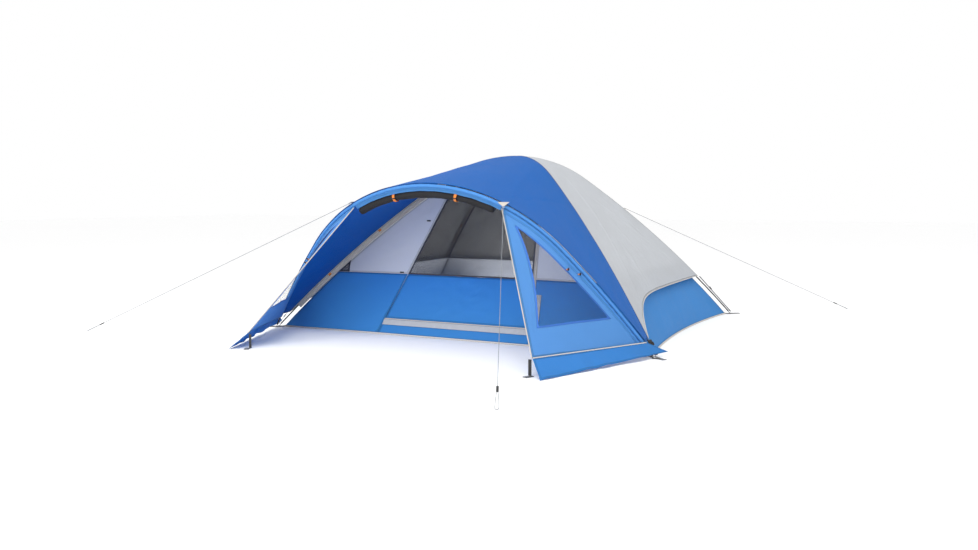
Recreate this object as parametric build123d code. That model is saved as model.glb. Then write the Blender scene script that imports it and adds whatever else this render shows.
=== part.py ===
from build123d import *
import math
import os

# Three-pole dome tent with an open porch: two main poles cross at the crown, a third pole
# leans forward as the porch arch, an inner tent hangs inside the main poles and a fly covers all.
# Millimetres. Origin on the ground at the middle of the footprint, +Z up, the porch faces -Y.

os.makedirs("parts", exist_ok=True)

# Driving dimensions
floor_width = 2743.0        # between pole feet, left to right
floor_depth = 2134.0        # between pole feet, front to back
overall_height = 1220.0     # over the fly at the crown
porch_depth = 786.0         # from the front pole feet to the porch anchors
anchor_half_span = 942.0    # porch anchors, either side of the middle
skirt_lift = 26.0           # the skirts' rear ends clear the pole feet by this much
skirt_reach = 85.0          # how far the porch skirts lie in front of the anchors
strap_reach = 58.5          # the corner straps' ends behind the rear pole feet
tent_y = (porch_depth + skirt_reach - strap_reach) / 2   # floor middle, behind the origin

# Pole lines: each half is a long flat leg arc and a tighter crown arc, tangent to each other
main_foot_angle = 47.0
main_shoulder_angle = 34.25
arch_foot_angle = 55.7
arch_shoulder_angle = 47.8
arch_rise = 1021.0          # height of the porch pole in its own plane
arch_lean = 15.2            # degrees forward of upright
arch_step = 22.0            # porch pole feet stand this far in front of the main pole feet
pole_d = 9.0
pole_bore = 5.0
shock_cord_d = 3.0
pole_crossing = 10.0        # the lower main pole passes this far under the upper one

# Cloth
cloth = 1.0                 # thickness of every sheet
fly_gap = 12.0              # fly's outer face above the pole line
porch_gap = 17.0            # the same over the porch pole and its sleeve
seam_drop = 30.0            # inner tent's ridge seams below the pole line
corner_inset = 45.0         # floor corners inside the pole feet
side_bow = 84.0             # hollow cut of the floor's side and rear edges
front_bow = 12.0
wall_sag = 25.0
fly_sag = 14.0
tub_t = 0.268               # top of the waterproof tub, as a share of the pole's half length
sleeve_t = 0.095            # pole sleeves begin here
rear_sleeve_t = 0.205       # the rear ones begin under the fly's hem
sleeve_end_t = 0.93
porch_t = 0.06              # lowest point of the fly beside the front pole feet
hem_t = 0.193               # lowest point of the fly at the rear poles
guy_t = 0.70                # porch guy points on the arch
guy_tab_t = 1.6

# Door
door_bottom = 100.0
door_top_t = 0.72
door_half_bottom = 540.0
door_taper = 0.211          # the door's sides close in by this much per unit of height
door_gap = 1.5
tape = 12.0
edge_lift = 48.0            # the zipped edge stops this far above the sill, clear of it all the way

pole_r = pole_d / 2
half_w = floor_width / 2
half_d = floor_depth / 2
crown = overall_height - fly_gap - cloth
diagonal = math.hypot(half_w, half_d)
ux = half_w / diagonal
uy = half_d / diagonal


class Bow:
    """A bent pole in an upright plane: two leg arcs and a crown arc between them."""

    def __init__(self, origin, across, up, half_span, rise, foot_angle, shoulder_angle):
        self.origin = Vector(*origin)
        self.across = Vector(*across)
        self.up = Vector(*up)
        self.a0 = math.radians(foot_angle)
        self.a1 = math.radians(shoulder_angle)
        s0, s1 = math.sin(self.a0), math.sin(self.a1)
        c0, c1 = math.cos(self.a0), math.cos(self.a1)
        # leg * (s0 - s1) + top * s1 = half_span and leg * (c1 - c0) + top * (1 - c1) = rise
        det = (s0 - s1) * (1 - c1) - s1 * (c1 - c0)
        self.leg = (half_span * (1 - c1) - s1 * rise) / det
        self.top = ((s0 - s1) * rise - (c1 - c0) * half_span) / det
        self.leg_centre = (half_span - self.leg * s0, -self.leg * c0)
        self.top_centre = (0.0, rise - self.top)
        self.leg_length = self.leg * (self.a0 - self.a1)
        self.half_length = self.leg_length + self.top * self.a1

    def angle(self, t):
        """Angle from the crown's upright at share t of the way from a foot to the crown."""
        s = t * self.half_length
        if s < self.leg_length:
            return self.a0 - s / self.leg
        return (self.half_length - s) / self.top

    def arc(self, a):
        """Centre and radius of the arc that holds the signed angle a."""
        if abs(a) <= self.a1:
            return self.top_centre, self.top
        return (math.copysign(1, a) * self.leg_centre[0], self.leg_centre[1]), self.leg

    def place(self, x, z):
        return self.origin + self.across * x + self.up * z

    def radial(self, a):
        return self.across * math.sin(a) + self.up * math.cos(a)

    def at_angle(self, a, out=0.0):
        (cx, cz), r = self.arc(a)
        return self.place(cx, cz) + self.radial(a) * (r + out)

    def at(self, t, out=0.0, side=1):
        return self.at_angle(side * self.angle(t), out)

    def bend(self, section, a_from, a_to):
        """Carry a section (x outwards, y sideways) round one arc of the pole line."""
        (cx, cz), r = self.arc((a_from + a_to) / 2)
        centre = self.place(cx, cz)
        n = self.radial(a_from)
        along = self.across * math.cos(a_from) - self.up * math.sin(a_from)
        plane = Plane(origin=centre + n * r, x_dir=n, z_dir=along)
        turn = math.degrees(a_to - a_from)
        return revolve(plane * section, axis=Axis(centre, n.cross(along)), revolution_arc=turn)

    def spans(self, t0, t1, side):
        """Split a stretch between two shares of one half at the change of radius."""
        ta = self.leg_length / self.half_length
        cuts = [t0] + ([ta] if t0 < ta < t1 else []) + [t1]
        return [(side * self.angle(a), side * self.angle(b)) for a, b in zip(cuts, cuts[1:])]

    def along_half(self, section, t0, t1, side=1):
        # angles fall towards the crown on the right half and rise on the left
        return [self.bend(section, min(a, b), max(a, b)) for a, b in self.spans(t0, t1, side)]


def main_bow(lower):
    """A main pole: the upper one runs from the front left foot to the rear right one."""
    across = (ux, -uy, 0) if lower else (ux, uy, 0)
    rise = crown - (pole_crossing if lower else 0)
    return Bow((0, tent_y, 0), across, (0, 0, 1), diagonal, rise, main_foot_angle, main_shoulder_angle)


upper_pole = main_bow(False)
lower_pole = main_bow(True)
lean = math.radians(arch_lean)
arch = Bow((0, tent_y - half_d - arch_step, 0), (1, 0, 0), (0, -math.sin(lean), math.cos(lean)),
           half_w, arch_rise, arch_foot_angle, arch_shoulder_angle)
heart = Vector(0, tent_y, 250)      # every sheet gets its thickness towards this point


def ridge(sx, sy, t, out):
    """Line beside a main pole; both poles share the upper pole's shape, so panels meet."""
    p = upper_pole.at(t, out) - upper_pole.origin
    return Vector(sx * p.X, tent_y + sy * p.Y, p.Z)


def mix(a, b, k):
    return a * (1 - k) + b * k


def steps(a, b, n):
    return [a + (b - a) * i / n for i in range(n + 1)]


def sheet(rows, thickness=cloth, towards=None):
    """Closed solid of flat triangles: a grid of points and its copy one thickness away."""
    def shift(p):
        return p + ((towards or (heart - p)).normalized() * thickness)
    inner = [[shift(p) for p in row] for row in rows]
    faces = []

    def tri(a, b, c):
        if (b - a).cross(c - a).length > 1e-3:
            faces.append(Face(Wire.make_polygon([a, b, c], close=True)))

    def quad(a, b, c, d):
        tri(a, b, c)
        tri(a, c, d)

    m, n = len(rows), len(rows[0])
    for i in range(m - 1):
        for j in range(n - 1):
            quad(rows[i][j], rows[i + 1][j], rows[i + 1][j + 1], rows[i][j + 1])
            quad(inner[i][j], inner[i][j + 1], inner[i + 1][j + 1], inner[i + 1][j])
    rim = [(i, 0) for i in range(m)] + [(m - 1, j) for j in range(1, n)]
    rim += [(i, n - 1) for i in range(m - 2, -1, -1)] + [(0, j) for j in range(n - 2, -1, -1)]
    for (i, j), (k, l) in zip(rim, rim[1:]):
        quad(rows[i][j], inner[i][j], inner[k][l], rows[k][l])
    solid = Solid(Shell(faces))
    return solid if solid.volume > 0 else sheet([row[::-1] for row in rows], thickness, towards)


def ruled(edge_a, edge_b, values, n=1):
    """Sheet between two lines that are functions of the same value."""
    return sheet([[mix(edge_a(v), edge_b(v), k) for k in steps(0, 1, n)] for v in values])


def save(name, pieces):
    pieces = pieces if isinstance(pieces, list) else [pieces]
    solids = [s for p in pieces for s in p.solids()]
    export_step(solids[0] if len(solids) == 1 else Compound(children=solids), "parts/" + name + ".step")


ring = lambda r_out, r_in: Circle(r_out) - Circle(r_in)
rod = lambda r, p, q: Solid.make_cylinder(r, (q - p).length, Plane(origin=p, z_dir=q - p))
sides = (-1, 1)
corners = [(sx, sy) for sy in sides for sx in sides]

# ---- poles -------------------------------------------------------------------------------

foot_lift = 0.012           # tubes stop short of the ground by this share of a half
section_gap = 0.0002        # share of a half left between neighbouring tube sections
ferrule_length = 55.0


def pole(bow, leg_sections, crown_sections):
    """Tube sections, ferrules over their joints and the shock cord that runs through them."""
    start = bow.angle(foot_lift)
    cuts = [a for a in steps(-start, -bow.a1, leg_sections)]
    cuts += steps(-bow.a1, bow.a1, crown_sections)[1:]
    cuts += steps(bow.a1, start, leg_sections)[1:]
    tubes, ferrules, cords = [], [], []
    for i, (a, b) in enumerate(zip(cuts, cuts[1:])):
        tubes.append(bow.bend(ring(pole_r, pole_bore / 2), a + section_gap, b - section_gap))
        _, r = bow.arc((a + b) / 2)
        if i < len(cuts) - 2:
            ferrules.append(bow.bend(ring(pole_r + 0.9, pole_r + 0.1), b - ferrule_length / r, b))
    for a, b in ((-start * 0.97, -bow.a1), (-bow.a1, bow.a1), (bow.a1, start * 0.97)):
        cords.append(bow.bend(Circle(shock_cord_d / 2), a, b))
    return tubes, ferrules, cords


upper_tubes, upper_ferrules, upper_cords = pole(upper_pole, 4, 3)
lower_tubes, lower_ferrules, lower_cords = pole(lower_pole, 4, 3)
arch_tubes, arch_ferrules, arch_cords = pole(arch, 2, 5)
save("main_pole_upper", upper_tubes)
save("main_pole_lower", lower_tubes)
save("porch_pole", arch_tubes)
save("pole_ferrules", upper_ferrules + lower_ferrules + arch_ferrules)
save("shock_cords", upper_cords + lower_cords + arch_cords)

# Ring-and-pin at every pole foot: the pin stands in the tube's bore, the ring lies on a strap
pin_r = 2.3
pin_depth = 30.0
ring_z = 5.2


def foot_pin(bow, side):
    low = bow.at(0.0, 0, side)
    a = side * bow.a0
    axis = (bow.up * math.sin(bow.a0) - bow.across * side * math.cos(bow.a0)).normalized()
    base = low + axis * (ring_z / axis.Z)
    mouth = bow.at(foot_lift, 0, side)
    pin = rod(pin_r, base, mouth + axis * pin_depth)
    loop = Pos(base.X, base.Y, ring_z) * Torus(9, 2.1)
    return [pin + loop]


pins = []
for side in sides:
    pins += foot_pin(upper_pole, side) + foot_pin(lower_pole, side)
pins += foot_pin(arch, -1) + foot_pin(arch, 1)
save("ring_pins", pins)

# ---- corner straps and peg eyelets ---------------------------------------------------------

strap_w = 30.0
strap_t = 2.0
eyelet_bore = 8.0
eyelet_barrel = 10.0
eyelet_flange = 13.0
eyelet_height = 4.0
eyelet_out = 60.0           # eyelet centre outside a pole foot


def turned(x, y, direction, shape):
    return Pos(x, y, 0) * Rot(0, 0, math.degrees(math.atan2(direction[1], direction[0]))) * shape


def strap_with_hole(length_in, length_out):
    """Webbing from -length_in to length_out along x, with a hole at the origin, 1 mm off the ground."""
    box = Pos((length_out - length_in) / 2, 0, cloth + strap_t / 2) * Box(length_in + length_out,
                                                                         strap_w, strap_t)
    return box - Pos(0, 0, cloth) * Cylinder(eyelet_barrel + 0.2, 3 * strap_t)


def eyelet():
    """Pressed eyelet: a barrel through the webbing with a flange on each face."""
    lip = (eyelet_height - strap_t) / 2 - 0.1
    body = Cylinder(eyelet_barrel, eyelet_height, align=(Align.CENTER, Align.CENTER, Align.MIN))
    low = Cylinder(eyelet_flange, lip, align=(Align.CENTER, Align.CENTER, Align.MIN))
    high = Pos(0, 0, eyelet_height - lip) * low
    bore = Cylinder(eyelet_bore, 3 * eyelet_height)
    return (body + low + high) - bore


straps, eyelets = [], []
for sx, sy in corners:
    out = (sx * ux, sy * uy)
    x = sx * half_w + out[0] * eyelet_out
    y = tent_y + sy * half_d + out[1] * eyelet_out
    straps.append(turned(x, y, out, strap_with_hole(eyelet_out + corner_inset - 1, 16)))
    eyelets.append(turned(x, y, out, eyelet()))

# Under each porch pole ring a short tab joins the corner strap
tabs = []
for sx in sides:
    x, y = sx * half_w, tent_y - half_d - arch_step
    tab = Pos(x + sx * 2, y - 4, cloth + strap_t / 2) * Box(34, 26, strap_t)
    tabs.append(tab - straps[0 if sx < 0 else 1])
save("corner_straps", straps + tabs)

anchor_y = tent_y - half_d - porch_depth
eyelet_aside = 16.0         # porch eyelets stand clear of the panel's corner, inwards and forwards
eyelet_ahead = 34.0
web_half_w = 9.0
anchor_straps, anchor_webs = [], []
edge_foot = {sx: Vector(sx * anchor_half_span, anchor_y, 95) for sx in sides}
for sx in sides:
    out = (-sx * eyelet_aside, -eyelet_ahead)
    x, y = sx * (anchor_half_span - eyelet_aside), anchor_y - eyelet_ahead
    anchor_straps.append(turned(x, y, out, strap_with_hole(math.hypot(*out), 16)))
    eyelets.append(turned(x, y, out, eyelet()))
    # the web stands on the strap's inner end, straight up to the panel's front corner
    low = Vector(sx * (anchor_half_span - web_half_w - 5), anchor_y, cloth + strap_t)
    wide = Vector(web_half_w, 0, 0)
    high = Vector(low.X, low.Y, edge_foot[sx].Z - 8)
    web_rows = [[low - wide, low + wide], [high - wide, high + wide]]
    anchor_webs.append(sheet(web_rows, strap_t, Vector(0, 1, 0)))
save("porch_anchor_straps", anchor_straps + anchor_webs)
save("peg_eyelets", eyelets)

# ---- inner tent ------------------------------------------------------------------------------

floor_x = half_w - corner_inset * ux
floor_y = half_d - corner_inset * uy
sill_x = door_half_bottom + door_taper * (door_bottom - cloth)


def floor_side(sx, u):
    """Side edge, u from 0 at the front corner to 1 at the rear corner."""
    return Vector(sx * (floor_x - side_bow * 4 * u * (1 - u)), tent_y + floor_y * (2 * u - 1), cloth)


def floor_rear(u):
    """Rear edge, u from 0 at the left corner to 1 at the right."""
    return Vector(floor_x * (2 * u - 1), tent_y + floor_y - side_bow * 4 * u * (1 - u), cloth)


front_floor_y = tent_y - floor_y + front_bow
n_edge = 12
outline = [floor_side(1, u) for u in steps(0, 1, n_edge)]
outline += [floor_rear(u) for u in steps(1, 0, n_edge)][1:]
outline += [floor_side(-1, u) for u in steps(1, 0, n_edge)][1:]
outline += [Vector(-sill_x, front_floor_y, cloth), Vector(sill_x, front_floor_y, cloth)]
floor = extrude(Pos(0, 0, 0) * make_face(Polyline([(p.X, p.Y) for p in outline], close=True)), cloth)
save("floor", floor)


def seam(sx, sy, t):
    """Ridge seam of the inner tent; under the sleeve it draws in to the floor corner."""
    p = ridge(sx, sy, t, -seam_drop)
    slack = max(0.0, 1 - t / sleeve_t) ** 2
    corner = Vector(sx * floor_x, tent_y + sy * floor_y, cloth)
    return p + (corner - ridge(sx, sy, 0, -seam_drop)) * slack


def wall(u, t, seam_a, seam_b, floor_edge, inward):
    """Wall between two ridge seams; its foot follows the floor's hollow edge."""
    p = mix(seam_a(t), seam_b(t), u)
    foot = floor_edge(u) - mix(seam_a(0), seam_b(0), u)
    p += foot * max(0.0, 1 - t / tub_t) ** 2
    return p + inward * (wall_sag * 4 * u * (1 - u) * math.sin(math.pi * min(1.0, t)) ** 2)


def side_wall(sx):
    return lambda u, t: wall(u, t, lambda v: seam(sx, -1, v), lambda v: seam(sx, 1, v),
                             lambda k: floor_side(sx, k), Vector(-sx, 0, 0))


rear_wall = lambda u, t: wall(u, t, lambda v: seam(-1, 1, v), lambda v: seam(1, 1, v),
                              floor_rear, Vector(0, -1, 0))
tub_rows = steps(0, tub_t, 6)
top_rows = steps(tub_t, 1, 9)
wall_cols = steps(0, 1, 8)
grid = lambda f, rows, cols: [[f(u, t) for u in cols] for t in rows]
for name, f in (("left", side_wall(-1)), ("right", side_wall(1)), ("rear", rear_wall)):
    save(name + "_tub_wall", sheet(grid(f, tub_rows, wall_cols)))
    save(name + "_upper_wall", sheet(grid(f, top_rows, wall_cols)))

# The front wall is flat across the doorway, so that the door can be flat as well
door_top_point = seam(-1, -1, door_top_t)
door_top = door_top_point.Z
door_lean = (door_top_point.Y - front_floor_y) / (door_top - cloth)
door_half = lambda z: door_half_bottom - door_taper * (z - door_bottom)
door_face = lambda x, z: Vector(x, front_floor_y + door_lean * (z - cloth), z)


def door_side(sx, z):
    return door_face(sx * door_half(z), z)


def front_side_piece(sx, rows):
    return ruled(lambda t: seam(sx, -1, t), lambda t: door_side(sx, seam(sx, -1, t).Z), rows, 3)


tub_top = seam(1, -1, tub_t).Z
sill = sheet([[door_face(-door_half(z), z), door_face(door_half(z), z)]
              for z in (cloth, door_bottom - door_gap)])
save("front_tub_wall", [front_side_piece(-1, tub_rows), front_side_piece(1, tub_rows), sill])
panel_rows = steps(tub_t, door_top_t, 6)
save("front_left_panel", front_side_piece(-1, panel_rows))
save("front_right_panel", front_side_piece(1, panel_rows))
crown_rows = steps(door_top_t, 1, 5)
save("front_crown_panel", sheet(grid(lambda u, t: mix(seam(-1, -1, t), seam(1, -1, t), u),
                                     crown_rows, steps(0, 1, 6))))

# Flat pieces in the plane of the door: x to the right, y up the slope, outward normal +z
slope = Vector(0, door_lean, 1).normalized()
outward = Vector(1, 0, 0).cross(slope)
door_plane = Plane(origin=door_face(0, cloth), x_dir=(1, 0, 0), z_dir=outward)
slant = lambda z: (z - cloth) / slope.Z
up_taper = door_taper * slope.Z


def flat(points, depth=-cloth, lift=0.0):
    """A flat outline in the door's plane; depth is negative towards the inside."""
    face = make_face(Polyline([(x, y) for x, y in points], close=True))
    solid = extrude(face, depth)
    return door_plane * (Pos(0, 0, lift) * solid)


def trapezoid(z_low, z_high, inset):
    """Outline of the door between two heights, drawn in by an inset on its slanted sides."""
    side = inset / math.cos(math.atan(up_taper))
    a, b = door_half(z_low) - side, door_half(z_high) - side
    low, high = slant(z_low), slant(z_high)
    return [(-a, low), (a, low), (b, high), (-b, high)]


door_high = door_top - door_gap


def door_piece(z_low, z_high, left_inset, right_inset):
    """Part of the door between two heights; insets are measured square to its slanted sides."""
    left, right = trapezoid(z_low, z_high, left_inset), trapezoid(z_low, z_high, right_inset)
    return flat([left[0], right[1], right[2], left[3]])


# Only the zipped edge is stiff: it swings across the doorway about the point where both
# sides would meet, and the cloth gathers towards the sewn side behind it
save("door_panel", door_piece(door_bottom, tub_top, door_gap, door_gap + tape))
save("door_mesh", door_piece(tub_top, door_high, door_gap, door_gap + tape))
edge_low = door_bottom + edge_lift
edge_in, edge_out = trapezoid(edge_low, door_high, door_gap + tape), trapezoid(edge_low, door_high, door_gap)
save("door_zip_edge", flat([edge_in[1], edge_out[1], edge_out[2], edge_in[2]]))

# Zip tape on the wall round the doorway, below, at the right and above; the left side is sewn
zip_w = 9.0
zip_t = 0.8
zip_lift = 1.6
zx_low = door_half(door_bottom) + 1
low_edge = slant(door_bottom)
wall_zip = flat([(-zx_low, low_edge - zip_w), (zx_low + zip_w, low_edge - zip_w),
                 (zx_low + zip_w, low_edge - 2), (-zx_low, low_edge - 2)], zip_t, zip_lift)
right_zip = flat([(door_half(door_bottom) + 1, slant(door_bottom) + 12),
                  (door_half(door_bottom) + zip_w, slant(door_bottom) + 12),
                  (door_half(door_high) + zip_w, slant(door_high)),
                  (door_half(door_high) + 1, slant(door_high))], zip_t, zip_lift)
save("door_zip_tape", [wall_zip, right_zip])

# Storm flap: one band below the zip and one beside it
flap_low = slant(door_bottom) - 52
flap_high = slant(door_bottom) - 13
flap_x = door_half(door_bottom) + 14
flap_w = 42.0
flap_top = slant(door_bottom) + 235
flap = flat([(-door_half_bottom, flap_low), (flap_x + flap_w, flap_low),
             (flap_x + flap_w - up_taper * 235, flap_top), (flap_x - up_taper * 235, flap_top),
             (flap_x, flap_high), (-door_half_bottom, flap_high)], 1.2, 5)
save("storm_flap", flap)

# Zip sliders with their pulls, each just outside the door's outline
slider_w, slider_l, slider_t = 9.0, 13.0, 4.0


def slider(x, y, angle):
    body = Box(slider_l, slider_w, slider_t)
    pull = Pos(-slider_l / 2 - 13, 0, -0.6) * Box(28, 6, 1.6)
    grip = Pos(-slider_l / 2 - 13, 0, -0.6) * Box(8, 2.2, 4)
    shape = body + pull - grip
    return door_plane * (Pos(x, y, zip_lift + zip_t + 0.4 + slider_t / 2) * Rot(0, 0, angle) * shape)


side_angle = 90 + math.degrees(math.atan(up_taper))
slider_y = slant(door_bottom) - zip_w / 2 - 1.2
save("door_slider_bottom", slider(door_half_bottom - 20, slider_y, 0))
side_low = slant(door_bottom) + 60
side_x = door_half(door_bottom) - up_taper * 60 + zip_w / 2 + 1.6
save("door_slider_side", slider(side_x, side_low, side_angle + 180))

# Toggles that hold the door rolled to the left, each on a short loop
toggles = []
for z in (tub_top + 4, 742):
    toggles.append(door_plane * (Pos(-door_half(z) - 45, slant(z), 11) * Rot(0, 90, 0)
                                 * Cylinder(5, 26)))

# Pole sleeves: a cloth tube round each leg of the main poles and a web down to the ridge seam
sleeve_out, sleeve_in = 6.6, 5.6
web_half = 0.6
sleeves = []
for bow, sy in ((upper_pole, 1), (lower_pole, -1)):
    for side in sides:
        first_t = sleeve_t if side * sy < 0 else rear_sleeve_t
        sleeves += bow.along_half(ring(sleeve_out, sleeve_in), first_t, sleeve_end_t, side)
        sideways = bow.across.cross(bow.up).normalized()
        rows = []
        for t in steps(first_t, sleeve_end_t, 10):
            top = bow.at(t, -sleeve_out, side)
            low = mix(seam(side, sy * side, t), top, 0.25)
            rows.append([top - sideways * web_half, low - sideways * web_half])
        sleeves.append(sheet(rows, 2 * web_half, sideways))
save("pole_sleeves", sleeves)

# Hook-and-loop wraps that tie the fly to the poles
wraps = []
for bow in (upper_pole, lower_pole):
    for side in sides:
        for t in (0.24, 0.46):
            half = 11 / bow.half_length
            wraps += bow.along_half(ring(sleeve_out + 1.4, sleeve_out + 0.2), t - half, t + half, side)
save("pole_wraps", wraps)

# ---- fly ---------------------------------------------------------------------------------------

fly_out = fly_gap + cloth


def arch_point(sx, t, out):
    return arch.at(t, out, sx)


roof_rows = steps(porch_t, 0.7, 7) + steps(0.7, 1, 7)[1:]
roof = [ruled(lambda t, sx=sx: ridge(sx, -1, t, fly_out),
              lambda t, sx=sx: arch_point(sx, t, porch_gap), roof_rows, 4) for sx in sides]
save("fly_porch_roof", roof)


def side_hem(u):
    """Lower edge of a side panel: high at the rear pole, down to the ground at the front one."""
    return hem_t - (hem_t - porch_t) * math.exp(-u / 0.085)


def fly_panel(a, b, hem, inward):
    """Panel between two poles, from its hem up to the crown."""
    rows = []
    for k in steps(0, 0.65, 6) + steps(0.65, 1, 7)[1:]:
        row = []
        for u in [0, 0.04, 0.09, 0.15, 0.24] + steps(0.36, 1, 6):
            t = hem(u) + (1 - hem(u)) * k
            p = mix(a(t), b(t), u) + inward * (fly_sag * 4 * u * (1 - u) * (1 - t * t))
            row.append(p)
        rows.append(row)
    return sheet(rows)


for name, sx in (("left", -1), ("right", 1)):
    front_line = lambda t: ridge(sx, -1, t, fly_out)
    rear_line = lambda t: ridge(sx, 1, t, fly_out)
    save("fly_" + name + "_side", fly_panel(front_line, rear_line, side_hem, Vector(-sx, 0, 0)))
save("fly_rear", fly_panel(lambda t: ridge(-1, 1, t, fly_out), lambda t: ridge(1, 1, t, fly_out),
                           lambda u: hem_t, Vector(0, -1, 0)))

# Porch pole sleeve, and below it a valance between the two guy points
arch_sleeve_out, arch_sleeve_in = 10.0, 8.8
valance_drop = 34.0
arch_sleeve = []
for side in sides:
    arch_sleeve += arch.along_half(ring(arch_sleeve_out, arch_sleeve_in), porch_t, 1, side)
valance = Pos(-(arch_sleeve_out + valance_drop) / 2, 0) * Rectangle(valance_drop - arch_sleeve_out, cloth)
save("porch_sleeve", arch_sleeve)
save("porch_valance", [s for side in sides for s in arch.along_half(valance, guy_t, 1, side)])

# Porch side panels: from the arch's leg to a straight front edge between guy point and anchor
window_low, window_high = 0.17, 0.84      # as shares of the panel's height
window_margin = 78.0                      # between the window and the arch
window_front = (0.90, 0.62)               # r of the window's front side at its foot and at its top


def porch_side(sx, s, r):
    a = arch_point(sx, porch_t + (guy_t - porch_t) * s, -arch_sleeve_out - 0.5)
    top = arch_point(sx, guy_t, -arch_sleeve_out - 0.5)
    return mix(a, mix(edge_foot[sx], top, s), r)


def window_back(sx, s):
    """The window's rear side runs beside the arch, a margin away from it."""
    width = (porch_side(sx, s, 1) - porch_side(sx, s, 0)).length
    return min(window_margin / width, window_fore(sx, s) - 0.02)


def window_fore(sx, s):
    k = (s - window_low) / (window_high - window_low)
    return window_front[0] + (window_front[1] - window_front[0]) * k


def porch_piece(sx, s0, s1, left, right, n=6, m=4):
    return sheet([[porch_side(sx, s, left(s) + (right(s) - left(s)) * k) for k in steps(0, 1, m)]
                  for s in steps(s0, s1, n)])


zero, one = (lambda s: 0.0), (lambda s: 1.0)
for name, sx in (("left", -1), ("right", 1)):
    back, fore = (lambda s: window_back(sx, s)), (lambda s: window_fore(sx, s))
    frame = [porch_piece(sx, 0, window_low, zero, one, 2, 5),
             porch_piece(sx, window_low, window_high, zero, back, 8, 2),
             porch_piece(sx, window_low, window_high, fore, one, 8, 2),
             porch_piece(sx, window_high, 1, zero, one, 3, 2)]
    save("porch_" + name + "_panel", frame)
    save("porch_" + name + "_window", porch_piece(sx, window_low, window_high, back, fore, 8, 3))
    # skirt: from the panel's lower edge out to the ground
    front_end = Vector(sx * (anchor_half_span + 80), anchor_y - skirt_reach, cloth)
    back_end = Vector(sx * (half_w + 42), tent_y - half_d + 92, skirt_lift)
    back_top = arch_point(sx, porch_t, porch_gap)
    rows = [[mix(mix(back_top, edge_foot[sx], r), mix(back_end, front_end, r), k) for r in steps(0, 1, 6)]
            for k in steps(0, 1, 2)]
    save("skirt_" + name, sheet(rows, cloth, Vector(0, 0, -1)))

# Piping on the front and lower edges of the porch side panels
piping_r = 3.0
piping = []
for sx in sides:
    forward = (porch_side(sx, 0, 1) - porch_side(sx, 0, 0)).normalized() * (piping_r + 0.6)
    top = porch_side(sx, 1, 1)
    piping.append(rod(piping_r, edge_foot[sx] + forward, mix(edge_foot[sx], top, 0.985) + forward))
save("porch_piping", piping)

# Rolled insect-screen door under the arch, its two ties and their toggles
roll_r = 26.0
roll_drop = 57.0
roll_back = 17.0            # the roll hangs this far behind the valance
roll_from, roll_to = math.radians(-26), math.radians(24)
tie_angle = math.asin(225 / arch.top)
roll_section = Pos(-roll_drop, -roll_back) * Circle(roll_r)
tie_section = Pos(-roll_drop, -roll_back) * ring(roll_r + 1.7, roll_r + 0.3)
save("rolled_screen_door", arch.bend(roll_section, roll_from, roll_to))
tie_half = 9 / arch.top
save("roll_ties", [arch.bend(tie_section, k * tie_angle - tie_half, k * tie_angle + tie_half) for k in sides])
for k in sides:
    p = arch.at_angle(k * tie_angle, -roll_drop) + arch.across.cross(arch.up) * (roll_r - roll_back + 5.2)
    toggles.append(Pos(*p) * Rot(0, 90, 0) * Cylinder(3.2, 24))
save("toggles", toggles)

# Straps that pull the fly's corners down to the corner rings: rear ones long, front ones short
strap_end_t = 0.017         # the straps end beside the pole, just above its foot
strap_clear = 12.0
strap_slip = 0.007          # and begin this far below the hem
fly_straps, fly_buckles, fly_hooks = [], [], []
for sx, sy in corners:
    start = hem_t if sy > 0 else porch_t
    sideways = Vector(sy * uy, -sx * ux, 0) * 10
    high = ridge(sx, sy, start - strap_slip, fly_out + 6)
    low = ridge(sx, sy, strap_end_t, strap_clear)
    out = Vector(sx * ux, sy * uy, 0.8).normalized()
    fly_straps.append(sheet([[high - sideways, high + sideways], [low - sideways, low + sideways]], 1.5, out))
    down = (low - high).normalized()
    lateral = sideways.normalized()
    seat = Plane(origin=mix(high, low, 0.35) + out * 3.6, x_dir=lateral, z_dir=out)
    slots = Pos(0, 5, 0) * Box(20, 3, 9) + Pos(0, -5, 0) * Box(20, 3, 9)
    fly_buckles.append(seat * (Box(28, 22, 3.6) - slots))
    hook_plane = Plane(origin=low + down * 12 + out * 0.8, x_dir=down, z_dir=out)
    fly_hooks.append(hook_plane * (Box(22, 20, 3) - Pos(3, 0, 0) * Box(9, 12, 9)))
save("fly_straps", fly_straps)
save("fly_strap_buckles", fly_buckles)
save("fly_hooks", fly_hooks)

# ---- guy points and guylines ---------------------------------------------------------------------

line_r = 1.5
tensioner_l = 34.0
loop_reach = 95.0
guy_ends = {"front_left": Vector(-2380, tent_y - 1827, 9), "front_right": Vector(1087, tent_y - 2566, 9),
            "rear_right": Vector(2170, tent_y + 1757, 9)}
tab_reach = 42.0


def guy_start(name):
    if name.startswith("front"):
        sx = -1 if name.endswith("left") else 1
        return arch_point(sx, guy_t, porch_gap + 3)
    return ridge(1, 1, 0.566, fly_out + 3)


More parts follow.
